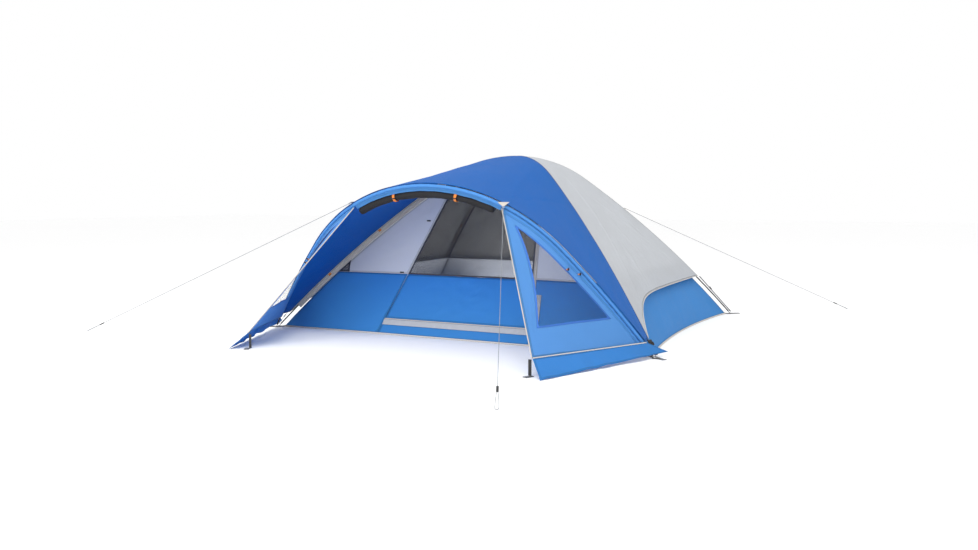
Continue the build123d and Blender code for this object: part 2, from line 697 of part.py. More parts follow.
guy_tabs, guy_rings = [], []
for name in list(guy_ends) + ["rear_left"]:
    if name == "rear_left":
        start = ridge(-1, 1, 0.566, fly_out + 3)
        aim = (Vector(-2190, tent_y + 1700, 9) - start).normalized()
    else:
        start = guy_start(name)
        aim = (guy_ends[name] - start).normalized()
    across = aim.cross(Vector(0, 0, 1)).normalized()
    up = across.cross(aim)
    wide = 34 if name.startswith("front") else 10
    tip = start + aim * tab_reach
    tab_rows = [[start - across * wide, start + across * wide], [tip - across * 6, tip + across * 6]]
    guy_tabs.append(sheet(tab_rows, guy_tab_t, up))
    centre = tip + aim * 9 + up * 0.8
    guy_rings.append(Plane(origin=centre, x_dir=aim, z_dir=up) * Torus(6.5, 1.4))
    if name == "rear_left":
        continue
    first = centre + aim * (6.5 + 1.4)
    end = guy_ends[name]
    knot = end - aim * loop_reach
    save("guyline_" + name, rod(line_r, first, knot - aim * tensioner_l))
    seat = Plane(origin=knot - aim * (tensioner_l / 2), x_dir=aim, z_dir=up)
    save("tensioner_" + name, seat * fillet(Box(tensioner_l, 12, 6).edges().filter_by(Axis.Z), 3))
    # the loop that goes round a peg: two strands and a half turn
    spread = across * 9
    left, right = knot + across * 3, knot - across * 3
    path = FilletPolyline(left, end + spread - aim * 8, end + spread + aim * 10, end - spread + aim * 10,
                          end - spread - aim * 8, right, radius=8)
    loop_plane = Plane(origin=left, z_dir=(end + spread - aim * 8) - left)
    save("peg_loop_" + name, sweep(loop_plane * Circle(line_r), path=path))
save("guy_tabs", guy_tabs)
save("guy_rings", guy_rings)
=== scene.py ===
import bpy
import math
import numpy as np
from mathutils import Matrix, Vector


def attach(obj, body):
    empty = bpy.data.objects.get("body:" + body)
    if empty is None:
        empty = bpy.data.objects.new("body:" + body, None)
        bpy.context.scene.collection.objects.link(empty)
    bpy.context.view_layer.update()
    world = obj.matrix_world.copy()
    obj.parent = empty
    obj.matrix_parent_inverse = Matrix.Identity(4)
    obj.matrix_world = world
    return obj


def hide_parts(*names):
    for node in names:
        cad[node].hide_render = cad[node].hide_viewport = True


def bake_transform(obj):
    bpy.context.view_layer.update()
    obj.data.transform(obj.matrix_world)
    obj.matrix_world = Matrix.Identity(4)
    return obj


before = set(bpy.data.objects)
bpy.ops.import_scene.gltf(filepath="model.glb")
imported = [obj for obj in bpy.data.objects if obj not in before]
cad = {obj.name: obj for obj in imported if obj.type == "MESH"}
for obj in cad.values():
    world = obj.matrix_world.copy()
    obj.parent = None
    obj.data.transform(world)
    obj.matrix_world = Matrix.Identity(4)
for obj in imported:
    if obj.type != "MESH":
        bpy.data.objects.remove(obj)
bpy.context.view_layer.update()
print("frame loaded:", len(cad), "nodes")

# ---------- stage: camera, light, floor ----------

cameraSet = {"place": (2.702, -5.479, 0.914), "pan": 0.462, "tilt": 0.089, "lens": 32.0}
lightSet = {"sky": 1.0, "key": 150.0, "front": 110.0, "inside": 26.0, "floor": (0.985, 0.985, 0.985)}


def linear(r, g, b):  # display values 0-255 to scene colour: ((c + 0.055) / 1.055) to the power 2.4
    c = np.array([r, g, b]) / 255
    return tuple(np.where(c < 0.04045, c / 12.92, ((c + 0.055) / 1.055) ** 2.4)) + (1.0,)


def addObject(name, data):
    obj = bpy.data.objects.new(name, data)
    bpy.context.scene.collection.objects.link(obj)
    return obj


camera = addObject("camera", bpy.data.cameras.new("camera"))
camera.data.lens = cameraSet["lens"]
camera.data.sensor_width = 36
camera.location = cameraSet["place"]
camera.rotation_euler = (math.pi / 2 - cameraSet["tilt"], 0, cameraSet["pan"])
camera.data.clip_end = 100
bpy.context.scene.camera = camera
bpy.context.scene.view_settings.view_transform = "Standard"


def softLight(name, power, size, place, aim):  # a square lamp at place that faces aim
    data = bpy.data.lights.new(name, "AREA")
    data.energy = power
    data.size = size
    lamp = addObject(name, data)
    lamp.location = place
    lamp.rotation_euler = (lamp.location - Vector(aim)).to_track_quat("Z", "Y").to_euler()


softLight("keyLight", lightSet["key"], 4.0, (0.5, -3.5, 5.5), (0, 0.3, 0.3))
softLight("frontLight", lightSet["front"], 3.0, (-0.5, -6.0, 1.2), (0, -0.3, 0.4))
softLight("insideLight", lightSet["inside"], 1.6, (0.0, 0.5, 0.06), (0, 0.5, 1.0))

sky = bpy.data.worlds.new("sky")
sky.use_nodes = True
sky.node_tree.nodes["Background"].inputs["Color"].default_value = (1, 1, 1, 1)
sky.node_tree.nodes["Background"].inputs["Strength"].default_value = lightSet["sky"]
bpy.context.scene.world = sky

floorMesh = bpy.data.meshes.new("studioFloor")
far, below = 30, -0.0005
floorCorners = [(-far, -far, below), (far, -far, below), (far, far, below), (-far, far, below)]
floorMesh.from_pydata(floorCorners, [], [(0, 1, 2, 3)])
studioFloor = addObject("studioFloor", floorMesh)

# ---------- materials ----------


class Wire:
    # one socket of a node tree: arithmetic on wires adds Math nodes
    def __init__(self, tree, socket=None):
        self.tree = tree
        self.socket = socket

    def add(self, kind, settings=None, sockets=None, out=0):
        node = self.tree.nodes.new(kind)
        for key, value in (settings or {}).items():
            if key == "stops":
                while len(node.color_ramp.elements) < len(value):
                    node.color_ramp.elements.new(0.5)
                for element, (place, colour) in zip(node.color_ramp.elements, value):
                    element.position = place
                    element.color = colour
            else:
                setattr(node, key, value)
        for key, value in (sockets or {}).items():
            if isinstance(value, Wire):
                self.tree.links.new(value.socket, node.inputs[key])
            else:
                node.inputs[key].default_value = value
        return Wire(self.tree, node.outputs[out])

    def math(self, operation, *others):
        values = {i: value for i, value in enumerate((self,) + others)}
        return self.add("ShaderNodeMath", {"operation": operation}, values)

    def __add__(self, other):
        return self.math("ADD", other)

    def __mul__(self, other):
        return self.math("MULTIPLY", other)

    def __sub__(self, other):
        return self.math("SUBTRACT", other)

    def __rsub__(self, other):
        return (self * -1) + other

    def __truediv__(self, other):
        return self.math("DIVIDE", other)

    def __lt__(self, other):
        return self.math("LESS_THAN", other)

    def __gt__(self, other):
        return self.math("GREATER_THAN", other)

    __radd__ = __add__
    __rmul__ = __mul__

    def tint(self, first, second):  # colour between two colours by this wire
        return self.add("ShaderNodeMix", {"data_type": "RGBA"}, {0: self, 6: first, 7: second}, 2)


def newMaterial(name):
    material = bpy.data.materials.new(name)
    material.use_nodes = True
    tree = material.node_tree
    start = Wire(tree)
    principled = tree.nodes["Principled BSDF"]
    return material, start, principled


def setShader(tree, principled, sockets):
    for key, value in sockets.items():
        if isinstance(value, Wire):
            tree.links.new(value.socket, principled.inputs[key])
        else:
            principled.inputs[key].default_value = value


def shade(colour, factor):
    return tuple(min(1.0, c * factor) for c in colour[:3]) + (1.0,)


def clothMaterial(name, look):
    # plain weave: two crossed thread waves in the piece's own UV metres, a hem band and stitch lines
    # a fixed distance from its borders, soft patches of tone, and light that comes through the cloth
    material, start, principled = newMaterial(name)
    tree = material.node_tree
    uv = start.add("ShaderNodeUVMap", {"uv_map": "cut"})
    split = start.add("ShaderNodeSeparateXYZ", None, {0: uv})
    across = split
    along = Wire(tree, split.socket.node.outputs[1])
    edge = start.add("ShaderNodeAttribute", {"attribute_name": "edge"}, None, 2)
    pitch = look.get("pitch", 0.0012)
    weave = (across * (2 * math.pi / pitch)).math("SINE") * (along * (2 * math.pi / pitch)).math("SINE")
    patches = start.add("ShaderNodeTexNoise", None, {"Vector": uv, "Scale": 2.3, "Detail": 3.0})
    creases = start.add("ShaderNodeTexNoise", None,
                        {"Vector": uv, "Scale": 9.0, "Detail": 5.0, "Roughness": 0.6})
    hem = edge < look.get("hem", 0.014)
    stitchAt = (edge - look.get("hem", 0.014) * 0.8).math("ABSOLUTE") < 0.0012
    dash = ((across + along) * (2 * math.pi / 0.006)).math("SINE") > -0.4
    stitch = stitchAt * dash
    base = look["colour"]
    toned = patches.tint(shade(base, 1 - look.get("tone", 0.06)), shade(base, 1 + look.get("tone", 0.06)))
    hemmed = hem.tint(toned, shade(look.get("hemColour", base), look.get("hemShade", 0.82)))
    colour = (stitch * 0.7).tint(hemmed, look.get("thread", shade(base, 0.6)))
    height = weave * 0.12 + creases * look.get("crease", 1.0) + hem * 0.35 + stitch * -0.3
    bump = start.add("ShaderNodeBump", None, {"Strength": 0.5, "Distance": 0.004, "Height": height})
    rough = patches * 0.12 + look.get("rough", 0.55)
    setShader(tree, principled, {"Base Color": colour, "Roughness": rough, "Normal": bump,
                                 "Sheen Weight": look.get("sheen", 0.03), "Sheen Roughness": 0.4,
                                 "Specular IOR Level": look.get("gloss", 0.2)})
    through = look.get("through", 0.3)
    if through:
        glow = start.add("ShaderNodeBsdfTranslucent", None, {"Color": colour, "Normal": bump})
        surface = Wire(tree, principled.outputs[0])
        mixed = start.add("ShaderNodeMixShader", None, {0: through, 1: surface, 2: glow})
        tree.links.new(mixed.socket, tree.nodes["Material Output"].inputs["Surface"])
    return material


def meshMaterial(name, look):
    # open net: threads where either UV coordinate is near a multiple of the pitch, holes between
    material, start, principled = newMaterial(name)
    tree = material.node_tree
    uv = start.add("ShaderNodeUVMap", {"uv_map": "cut"})
    split = start.add("ShaderNodeSeparateXYZ", None, {0: uv})
    along = Wire(tree, split.socket.node.outputs[1])
    edge = start.add("ShaderNodeAttribute", {"attribute_name": "edge"}, None, 2)
    pitch, thread = look["pitch"], look["thread"]
    warp = (split / pitch).math("FRACT") < thread
    weft = (along / pitch).math("FRACT") < thread
    threads = warp.math("MAXIMUM", weft)
    patches = start.add("ShaderNodeTexNoise", None, {"Vector": uv, "Scale": 3.0, "Detail": 2.0})
    hem = edge < look.get("hem", 0.012)
    colour = hem.tint(patches.tint(shade(look["colour"], 0.85), shade(look["colour"], 1.15)), look["binding"])
    alpha = threads.math("MAXIMUM", hem)
    bump = start.add("ShaderNodeBump", None, {"Strength": 0.3, "Distance": 0.001, "Height": threads + hem})
    setShader(tree, principled, {"Base Color": colour, "Roughness": 0.7 - patches * 0.1, "Alpha": alpha,
                                 "Normal": bump, "Specular IOR Level": 0.2})
    return material


def hardMaterial(name, look):
    # moulded, drawn or woven small parts: fine grain in object metres and scuffs that change the roughness
    material, start, principled = newMaterial(name)
    tree = material.node_tree
    place = start.add("ShaderNodeTexCoord", None, None, 3)
    grain = start.add("ShaderNodeTexNoise", None,
                      {"Vector": place, "Scale": look.get("grain", 900.0), "Detail": 3.0})
    scuffs = start.add("ShaderNodeTexNoise", None,
                       {"Vector": place, "Scale": 35.0, "Detail": 6.0, "Roughness": 0.7})
    height = grain
    if "ribs" in look:
        split = start.add("ShaderNodeSeparateXYZ", None, {0: place})
        second = Wire(tree, split.socket.node.outputs[1])
        third = Wire(tree, split.socket.node.outputs[2])
        turn = 2 * math.pi / look["ribs"]
        height = (grain * 0.3 + ((split + third) * turn).math("SINE") * 0.5
                  + ((second - third) * turn).math("SINE") * 0.5)
    worn = scuffs.add("ShaderNodeMapRange", None, {"Value": scuffs, "From Min": 0.45, "From Max": 0.7})
    colour = worn.tint(look["colour"], shade(look["colour"], look.get("wear", 1.5)))
    bump = start.add("ShaderNodeBump", None,
                     {"Strength": look.get("bump", 0.2), "Distance": 0.0006, "Height": height})
    rough = scuffs * 0.2 + look["rough"]
    setShader(tree, principled, {"Base Color": colour, "Roughness": rough, "Normal": bump,
                                 "Metallic": look.get("metal", 0.0), "Sheen Weight": look.get("sheen", 0.0)})
    return material


dark = linear(38, 39, 42)
binding = linear(186, 180, 172)
finishes = {
    "fly_blue": clothMaterial("flyBlue", {"colour": linear(26, 111, 197), "through": 0.32, "crease": 1.2}),
    "porch_blue": clothMaterial("porchBlue",
        {"colour": linear(66, 144, 218), "through": 0.32, "crease": 0.9}),
    "panelBlue": clothMaterial("panelBlue",
        {"colour": linear(98, 162, 226), "through": 0.34, "crease": 1.1}),
    # lighter copy of porch blue: painted highlight for the light that the arch's sleeve, valance and band
    # catch
    "sleeveBluePaintedHighlight": clothMaterial("sleeveBluePaintedHighlight",
        {"colour": linear(92, 162, 232), "through": 0.35, "crease": 1.3}),
    "tub_blue": clothMaterial("tubBlue", {"colour": linear(68, 148, 221), "through": 0.30, "crease": 0.9}),
    "lining": clothMaterial("greyCoating",
        {"colour": linear(206, 210, 218), "through": 0.3, "crease": 0.9}),
    "fly_grey": clothMaterial("flyGrey",
        {"colour": linear(214, 217, 221), "through": 0.35, "crease": 0.7, "thread": linear(120, 124, 130)}),
    "panel_grey": clothMaterial("panelGrey",
        {"colour": linear(216, 220, 230), "through": 0.5, "crease": 0.8}),
    "pipingCloth": clothMaterial("pipingCloth",
        {"colour": linear(206, 202, 196), "through": 0.0, "hem": 0.0, "pitch": 0.002}),
    "mesh": meshMaterial("insectMesh",
        {"colour": linear(60, 59, 60), "pitch": 0.0018, "thread": 0.22, "binding": linear(70, 72, 80)}),
    "netWindow": meshMaterial("windowMesh",
        {"colour": linear(70, 70, 74), "pitch": 0.0018, "thread": 0.06, "binding": linear(60, 110, 190)}),
    "roll": clothMaterial("rolledMesh",
        {"colour": linear(34, 34, 36), "through": 0.0, "crease": 1.6, "pitch": 0.0018}),
    "pole": hardMaterial("polePlastic", {"colour": dark, "rough": 0.28, "grain": 1500.0}),
    "tape": hardMaterial("bindingWeave",
        {"colour": binding, "rough": 0.75, "ribs": 0.004, "bump": 0.5, "wear": 1.1}),
    "flap": hardMaterial("stormFlapWeave",
        {"colour": linear(172, 175, 180), "rough": 0.7, "ribs": 0.003, "bump": 0.4, "wear": 1.1}),
    "wrap": hardMaterial("orangeWeave",
        {"colour": linear(214, 122, 48), "rough": 0.75, "ribs": 0.003, "bump": 0.6, "wear": 1.2}),
    "ground": hardMaterial("groundCloth",
        {"colour": linear(96, 104, 120), "rough": 0.6, "ribs": 0.004, "bump": 0.3, "wear": 1.1}),
    "hardware": hardMaterial("mouldedBlack", {"colour": linear(28, 28, 30), "rough": 0.42}),
    "webbing": hardMaterial("wovenWebbing",
        {"colour": linear(30, 30, 33), "rough": 0.7, "ribs": 0.003, "bump": 0.7, "sheen": 0.3}),
    "cord": hardMaterial("braidedLine",
        {"colour": linear(120, 124, 130), "rough": 0.65, "ribs": 0.0022, "bump": 0.8, "sheen": 0.3}),
    "steel": hardMaterial("platedSteel",
        {"colour": linear(190, 190, 192), "rough": 0.25, "metal": 1.0, "wear": 0.7}),
    "floor": hardMaterial("studioPaper",
        {"colour": lightSet["floor"] + (1.0,), "rough": 0.8, "grain": 40.0, "wear": 1.0, "bump": 0.02}),
}
studioFloor.data.materials.append(finishes["floor"])
print("materials made:", len(finishes))

# ---------- pole lines and panel borders ----------

tent = {"width": 2.743, "depth": 2.134, "height": 1.220, "middle": 0.40625, "cloth": 0.001,
        "flyGap": 0.012, "porchGap": 0.017, "flySag": 0.014, "hemAt": 0.193, "porchFrom": 0.06, "guyAt": 0.70,
        "seamDrop": 0.030, "inset": 0.045, "sideBow": 0.084, "frontBow": 0.012, "wallSag": 0.025,
        "tubAt": 0.268, "sleeveFrom": 0.095, "sleeve": 0.010,
        "doorTopAt": 0.72, "doorBottom": 0.100, "doorHalf": 0.540, "doorTaper": 0.211,
        "archRise": 1.021, "archLean": 15.2, "archStep": 0.022,
        "anchorHalf": 0.942, "porchDepth": 0.786, "skirtReach": 0.085, "skirtLift": 0.026}
halfW, halfD = tent["width"] / 2, tent["depth"] / 2
reach = math.hypot(halfW, halfD)
ux, uy = halfW / reach, halfD / reach
flyOut = tent["flyGap"] + tent["cloth"]
heart = np.array([0, tent["middle"], 0.25])
cornerX, cornerY = halfW - tent["inset"] * ux, halfD - tent["inset"] * uy


class Bow:
    # a pole in its own plane: leg arc from the foot, then a crown arc, tangent where they meet
    def __init__(self, span, rise, foot, shoulder):
        self.foot, self.shoulder = math.radians(foot), math.radians(shoulder)
        s0, s1 = math.sin(self.foot), math.sin(self.shoulder)
        c0, c1 = math.cos(self.foot), math.cos(self.shoulder)
        det = (s0 - s1) * (1 - c1) - s1 * (c1 - c0)
        self.leg = (span * (1 - c1) - s1 * rise) / det
        self.top = ((s0 - s1) * rise - (c1 - c0) * span) / det
        self.legCentre = (span - self.leg * s0, -self.leg * c0)
        self.topCentre = (0.0, rise - self.top)
        self.legLength = self.leg * (self.foot - self.shoulder)
        self.half = self.legLength + self.top * self.shoulder

    def at(self, t, out=0.0):  # distance from the middle and height, at share t from foot to crown
        s = np.asarray(t, float) * self.half
        low = s < self.legLength
        angle = np.where(low, self.foot - s / self.leg, (self.half - s) / self.top)
        radius = np.where(low, self.leg, self.top) + out
        x = np.where(low, self.legCentre[0], self.topCentre[0]) + np.sin(angle) * radius
        z = np.where(low, self.legCentre[1], self.topCentre[1]) + np.cos(angle) * radius
        return x, z


mainBow = Bow(reach, tent["height"] - flyOut, 47.0, 34.25)
archBow = Bow(halfW, tent["archRise"], 55.7, 47.8)
lean = math.radians(tent["archLean"])
archY = tent["middle"] - halfD - tent["archStep"]


def ridge(sx, sy, t, out=0.0):  # line beside a main pole, sx and sy give its corner
    x, z = mainBow.at(t, out)
    return np.stack([sx * x * ux, tent["middle"] + sy * x * uy, z], -1)


def arch(sx, t, out=0.0, forward=0.0):  # line beside the porch pole; forward is square to its plane
    x, z = archBow.at(t, out)
    return np.stack([sx * x, archY - z * math.sin(lean) - forward * math.cos(lean),
                     z * math.cos(lean) - forward * math.sin(lean)], -1)


def between(a, b, k):
    return a * (1 - k) + b * k


def cornerFloor(sx, sy):
    return np.array([sx * cornerX, tent["middle"] + sy * cornerY, tent["cloth"]])


def seam(sx, sy, t):  # inner tent's ridge seam, drawn in to the floor corner below the sleeve
    slack = np.maximum(0, 1 - t / tent["sleeveFrom"])[..., None] ** 2
    drawIn = cornerFloor(sx, sy) - ridge(sx, sy, 0, -tent["seamDrop"])
    return ridge(sx, sy, t, -tent["seamDrop"]) + drawIn * slack


# ---------- cloth pieces ----------


def unit(v):
    return v / np.maximum(np.linalg.norm(v, axis=-1, keepdims=True), 1e-9)


def lengths(points, axis):  # running length along one way of the grid
    step = np.linalg.norm(np.diff(points, axis=axis), axis=-1)
    zero = np.zeros_like(np.take(step, [0], axis=axis))
    return np.concatenate([zero, np.cumsum(step, axis=axis)], axis=axis)


def normals(points):
    return unit(np.cross(np.gradient(points, axis=1), np.gradient(points, axis=0)))


def relief(points, height, inward=None):  # moves a grid along its normals, away from the heart of the tent
    n = normals(points)
    away = inward if inward is not None else points - heart
    n = n * np.sign(np.sum(n * away, -1, keepdims=True))
    return points + n * height[..., None]


def ripples(points, seed, count, shortest, longest, height):
    # sum of sine waves of seeded lengths, directions and phases, in the cloth's own metres
    rng = np.random.default_rng(seed)
    a, b = lengths(points, 1), lengths(points, 0)
    total = np.zeros(points.shape[:2])
    for k in range(count):
        wave = shortest * (longest / shortest) ** rng.random()
        turn = rng.random() * math.pi
        phase = rng.random() * 6.28
        total += wave * np.sin(2 * math.pi * (a * math.cos(turn) + b * math.sin(turn)) / wave + phase)
    return total * height / (count ** 0.5 * longest)


def folds(points, lines):
    # each line (from u, v, to u, v, width, height) raises a ridge that fades at both its ends
    rows, cols = points.shape[:2]
    v, u = np.meshgrid(np.linspace(0, 1, rows), np.linspace(0, 1, cols), indexing="ij")
    w, l = lengths(points, 1).max(), lengths(points, 0).max()
    total = np.zeros((rows, cols))
    for u0, v0, u1, v1, width, height in lines:
        du, dv = (u1 - u0) * w, (v1 - v0) * l
        size = math.hypot(du, dv)
        s = ((u - u0) * w * du + (v - v0) * l * dv) / size ** 2
        d = ((u - u0) * w * dv - (v - v0) * l * du) / size
        fade = np.where((s > 0) & (s < 1), np.sin(np.pi * np.clip(s, 0, 1)) ** 0.8, 0)
        total += height * fade * np.exp(-(d / width) ** 2)
    return total


def gridFaces(rows, cols, wrap=False):
    i, j = np.meshgrid(np.arange(rows - 1), np.arange(cols if wrap else cols - 1), indexing="ij")
    k = (j + 1) % cols
    return np.stack([i * cols + j, i * cols + k, (i + 1) * cols + k, (i + 1) * cols + j], -1).reshape(-1, 4)


def finishMesh(name, verts, faces, uvs, edge, finish, body, replaced):
    mesh = bpy.data.meshes.new(name)
    mesh.from_pydata(verts.tolist(), [], faces.tolist() if isinstance(faces, np.ndarray) else faces)
    corner = np.empty(len(mesh.loops), int)
    mesh.loops.foreach_get("vertex_index", corner)
    layer = mesh.uv_layers.new(name="cut")
    layer.data.foreach_set("uv", uvs[corner].ravel().astype(np.float32))
    mesh.attributes.new("edge", "FLOAT", "POINT").data.foreach_set("value", edge.astype(np.float32))
    mesh.shade_smooth()
    mesh.materials.append(finishes[finish])
    piece = addObject(name, mesh)
    if body:
        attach(piece, body)
    if replaced:
        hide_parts(*replaced)
    return piece


sheetSizes = {}
netThick = 0.0004


def smallestRectangle(points):  # of every turn in the sheet's best plane, the one whose rectangle is least
    middle = points - points.mean(0)
    first, second = np.linalg.svd(middle, full_matrices=False)[2][:2]
    x, y = middle @ first, middle @ second
    sizes = []
    for turn in np.radians(np.arange(90)):
        c, d = math.cos(turn), math.sin(turn)
        sizes.append((np.ptp(x * c + y * d), np.ptp(y * c - x * d)))
    return tuple(float(side) for side in min(sizes, key=lambda size: size[0] * size[1]))



def fabric(name, points, slotName, replaced=(), thick=0.001, away=None, finish=None,
           rests=(), keep=None, body="tent", lining=None, plane=False):
    # grid of points made a closed sheet; its outer face is the grid, its thickness goes inwards
    rows, cols = points.shape[:2]
    faces = gridFaces(rows, cols)
    normal = normals(points)
    direction = away if away is not None else points - heart
    if np.sum(normal * direction) < 0:
        faces = faces[:, ::-1]
    if keep is not None:
        faces = faces[keep.ravel()]
    a, b = lengths(points, 1), lengths(points, 0)
    edge = np.minimum(np.minimum(a, a[:, -1:] - a), np.minimum(b, b[-1:] - b))
    uvs = np.stack([a, b], -1).reshape(-1, 2)
    verts = points.reshape(-1, 3)
    used, faces = np.unique(faces, return_inverse=True)
    faces = faces.reshape(-1, 4)
    piece = finishMesh(name, verts[used], faces, uvs[used], edge.ravel()[used], finish or slotName,
                       body, replaced)
    shell = piece.modifiers.new("thickness", "SOLIDIFY")
    shell.thickness = thick
    shell.offset = -1
    if lining:
        piece.data.materials.append(finishes[lining])
        shell.material_offset = 1
    quads = verts[used][faces]
    area = 0.5 * np.linalg.norm(np.cross(quads[:, 2] - quads[:, 0], quads[:, 3] - quads[:, 1]), axis=-1).sum()
    size = smallestRectangle(verts[used]) if plane else (float(a.max()), float(b.max()))
    sheetSizes[name] = tuple(round(side, 3) for side in size)
    return piece


# ---------- fly ----------

fly = {"columns": 161, "rows": 45, "roofSag": 0.006, "hemCurve": 0.085, "wrinkle": 0.0045}

s = np.linspace(-1, 1, fly["columns"])
t = tent["porchFrom"] + (1 - tent["porchFrom"]) * (1 - np.abs(s))
v = np.linspace(0, 1, fly["rows"])[:, None, None]
roof = between(ridge(np.sign(s), -1, t, flyOut), arch(np.sign(s), t, tent["porchGap"]), v)
roof = relief(roof, -fly["roofSag"] * 4 * v[..., 0] * (1 - v[..., 0]) * (1 - s ** 2)
              + ripples(roof, 3, 9, 0.12, 0.7, fly["wrinkle"]) * (0.3 + 2.8 * v[..., 0] * (1 - v[..., 0]))
              + folds(roof, [(0.33, 1, 0.42, 0, 0.018, 0.005), (0.67, 1, 0.58, 0, 0.018, 0.005),
                             (0.36, 1, 0.30, 0, 0.02, -0.004), (0.64, 1, 0.72, 0, 0.02, -0.004),
                             (0.08, 1, 0.14, 0, 0.016, 0.004), (0.92, 1, 0.86, 0, 0.016, 0.004)]))
fabric("flyRoof", roof, "fly_blue", replaced=["fly_porch_roof"], rests=["main_pole_upper", "porch_pole"])


def flyPanel(a, b, hem, inward, seed, lines):  # ridge to ridge, each column from its own hem up to the crown
    u = np.linspace(0, 1, 121)
    k = np.linspace(0, 1, 121)[:, None]
    t = hem(u) + (1 - hem(u)) * k
    p = between(a(t), b(t), u[None, :, None])
    p = p + np.array(inward) * (tent["flySag"] * 4 * u * (1 - u) * (1 - t * t))[..., None]
    calm = np.minimum(1, np.minimum(u, 1 - u) * 8)
    return relief(p, ripples(p, seed, 9, 0.1, 0.6, fly["wrinkle"]) * calm + folds(p, lines) * calm)


def sideHem(u):
    return tent["hemAt"] - (tent["hemAt"] - tent["porchFrom"]) * np.exp(-u / fly["hemCurve"])


sideFolds = [(0.10, 0.02, 0.45, 0.75, 0.022, 0.006), (0.95, 0.02, 0.55, 0.6, 0.022, 0.006),
             (0.30, 0.0, 0.38, 0.35, 0.016, 0.005), (0.52, 0.0, 0.50, 0.4, 0.016, 0.006),
             (0.72, 0.0, 0.66, 0.35, 0.016, 0.005), (0.85, 0.0, 0.78, 0.5, 0.018, -0.005)]
for name, sx in (("Left", -1), ("Right", 1)):
    panel = flyPanel(lambda t: ridge(sx, -1, t, flyOut), lambda t: ridge(sx, 1, t, flyOut), sideHem,
                     (-sx, 0, 0), 11 + sx, sideFolds)
    fabric("flySide" + name, panel, "fly_grey", replaced=["fly_%s_side" % name.lower()],
           rests=["main_pole_upper"])
rear = flyPanel(lambda t: ridge(-1, 1, t, flyOut), lambda t: ridge(1, 1, t, flyOut),
                lambda u: tent["hemAt"] + 0 * u, (0, -1, 0), 21, sideFolds)
fabric("flyRear", rear, "fly_grey", replaced=["fly_rear"], rests=["main_pole_upper", "main_pole_lower"])
print("fly made")


def ringSweep(centre, first, second, radius):  # rings of radius round a line, in its two cross directions
    turn = np.linspace(0, 2 * math.pi, radius.shape[1], endpoint=False)
    return (centre[:, None] + first[:, None] * (np.cos(turn) * radius)[..., None]
            + second[:, None] * (np.sin(turn) * radius)[..., None])


def archLine(s, out):  # s from -1 at the left foot to 1 at the right one
    t = 1 - np.abs(s)
    p = arch(np.sign(s), t, out)
    along = unit(np.gradient(p, axis=0))
    ahead = np.array([0, -math.cos(lean), -math.sin(lean)]) * np.ones_like(p)
    return p, unit(np.cross(along, ahead)), ahead


def tubeMesh(name, rings, slotName, replaced=(), finish=None, thick=0.0, capped=True, body="tent"):
    # grid of rings joined round, closed by a fan at each end, or left open and given a wall
    n, m = rings.shape[:2]
    faces = [tuple(f) for f in gridFaces(n, m, wrap=True).tolist()]
    verts = rings.reshape(-1, 3)
    along = lengths(rings, 0)
    around = lengths(np.concatenate([rings, rings[:, :1]], 1), 1)[:, :-1]
    uvs = np.stack([around, along], -1).reshape(-1, 2)
    edge = np.minimum(along, along[-1:] - along).ravel()
    if capped:
        for row, flip in ((0, 0), (n - 1, 1)):
            centre = len(verts)
            verts = np.vstack([verts, rings[row].mean(0)])
            uvs = np.vstack([uvs, uvs[row * m]])
            edge = np.append(edge, 0.0)
            for j in range(m):
                a, b = row * m + j, row * m + (j + 1) % m
                faces.append((a, b, centre) if flip else (b, a, centre))
    c = rings.mean(1)
    normal = np.cross(verts[1] - verts[0], verts[m] - verts[0])
    if np.dot(normal, verts[0] - c[0]) < 0:
        faces = [f[::-1] for f in faces]
    piece = finishMesh(name, verts, faces, uvs, edge, finish or slotName, body, replaced)
    if thick:
        shell = piece.modifiers.new("thickness", "SOLIDIFY")
        shell.thickness = thick
        shell.offset = -1
    return piece


# ---------- porch: sleeve, valance, side panels, skirts ----------

porch = {"valance": 0.034, "low": 0.17, "high": 0.84, "top": 0.992, "margin": 0.078, "front": (0.90, 0.62),
         "footLift": 0.095, "skirtWave": 0.0045, "band": 0.042}
s = np.linspace(-(1 - tent["porchFrom"]), 1 - tent["porchFrom"], 241)
centre, outwards, ahead = archLine(s, 0)
turn = np.linspace(0, 2 * math.pi, 20, endpoint=False)
rng = np.random.default_rng(5)
puckers = (1 + 0.05 * np.sin(s[:, None] * 190 + 2 * np.sin(turn)) * np.cos(turn)
           + 0.02 * rng.standard_normal((len(s), len(turn))))
rings = ringSweep(centre, outwards, ahead, tent["sleeve"] * np.minimum(puckers, 1.12))
# the sleeve takes the lighter copy of porch blue, a painted highlight along the arch
sleeve = tubeMesh("porchSleeve", rings, "porch_blue", ["porch_sleeve"], finish="sleeveBluePaintedHighlight", thick=0.0008,
                  capped=False)
rows = lengths(centre[:, None], 0).max()

s = np.linspace(-(1 - tent["guyAt"]), 1 - tent["guyAt"], 161)
drop = np.linspace(0, 1, 9)[:, None, None]
top, outwards, ahead = archLine(s, 0)
start = tent["sleeve"] * 0.8
band = top - outwards * np.sign(outwards[80, 2]) * (start + (porch["valance"] - start) * drop)
band = band + ahead * (0.0022 * np.sin(s * 90)[None, :, None] * drop + 0.0005)
# the valance takes the lighter copy of porch blue, a painted highlight along the arch
fabric("porchValance", band, "porch_blue", ["porch_valance"], away=ahead[None], finish="sleeveBluePaintedHighlight",
       rests=["porch_pole"])

anchorY = tent["middle"] - halfD - tent["porchDepth"]


def porchSide(sx, s, r):  # from the arch's leg, r 0, to the straight front edge, r 1; s runs up the arch
    t = tent["porchFrom"] + (tent["guyAt"] - tent["porchFrom"]) * s
    inside = -(tent["sleeve"] + 0.0005)
    foot = np.array([sx * tent["anchorHalf"], anchorY, porch["footLift"]])
    front = between(foot, arch(sx, tent["guyAt"], inside), s[..., None])
    return between(arch(sx, t, inside), front, r[..., None])


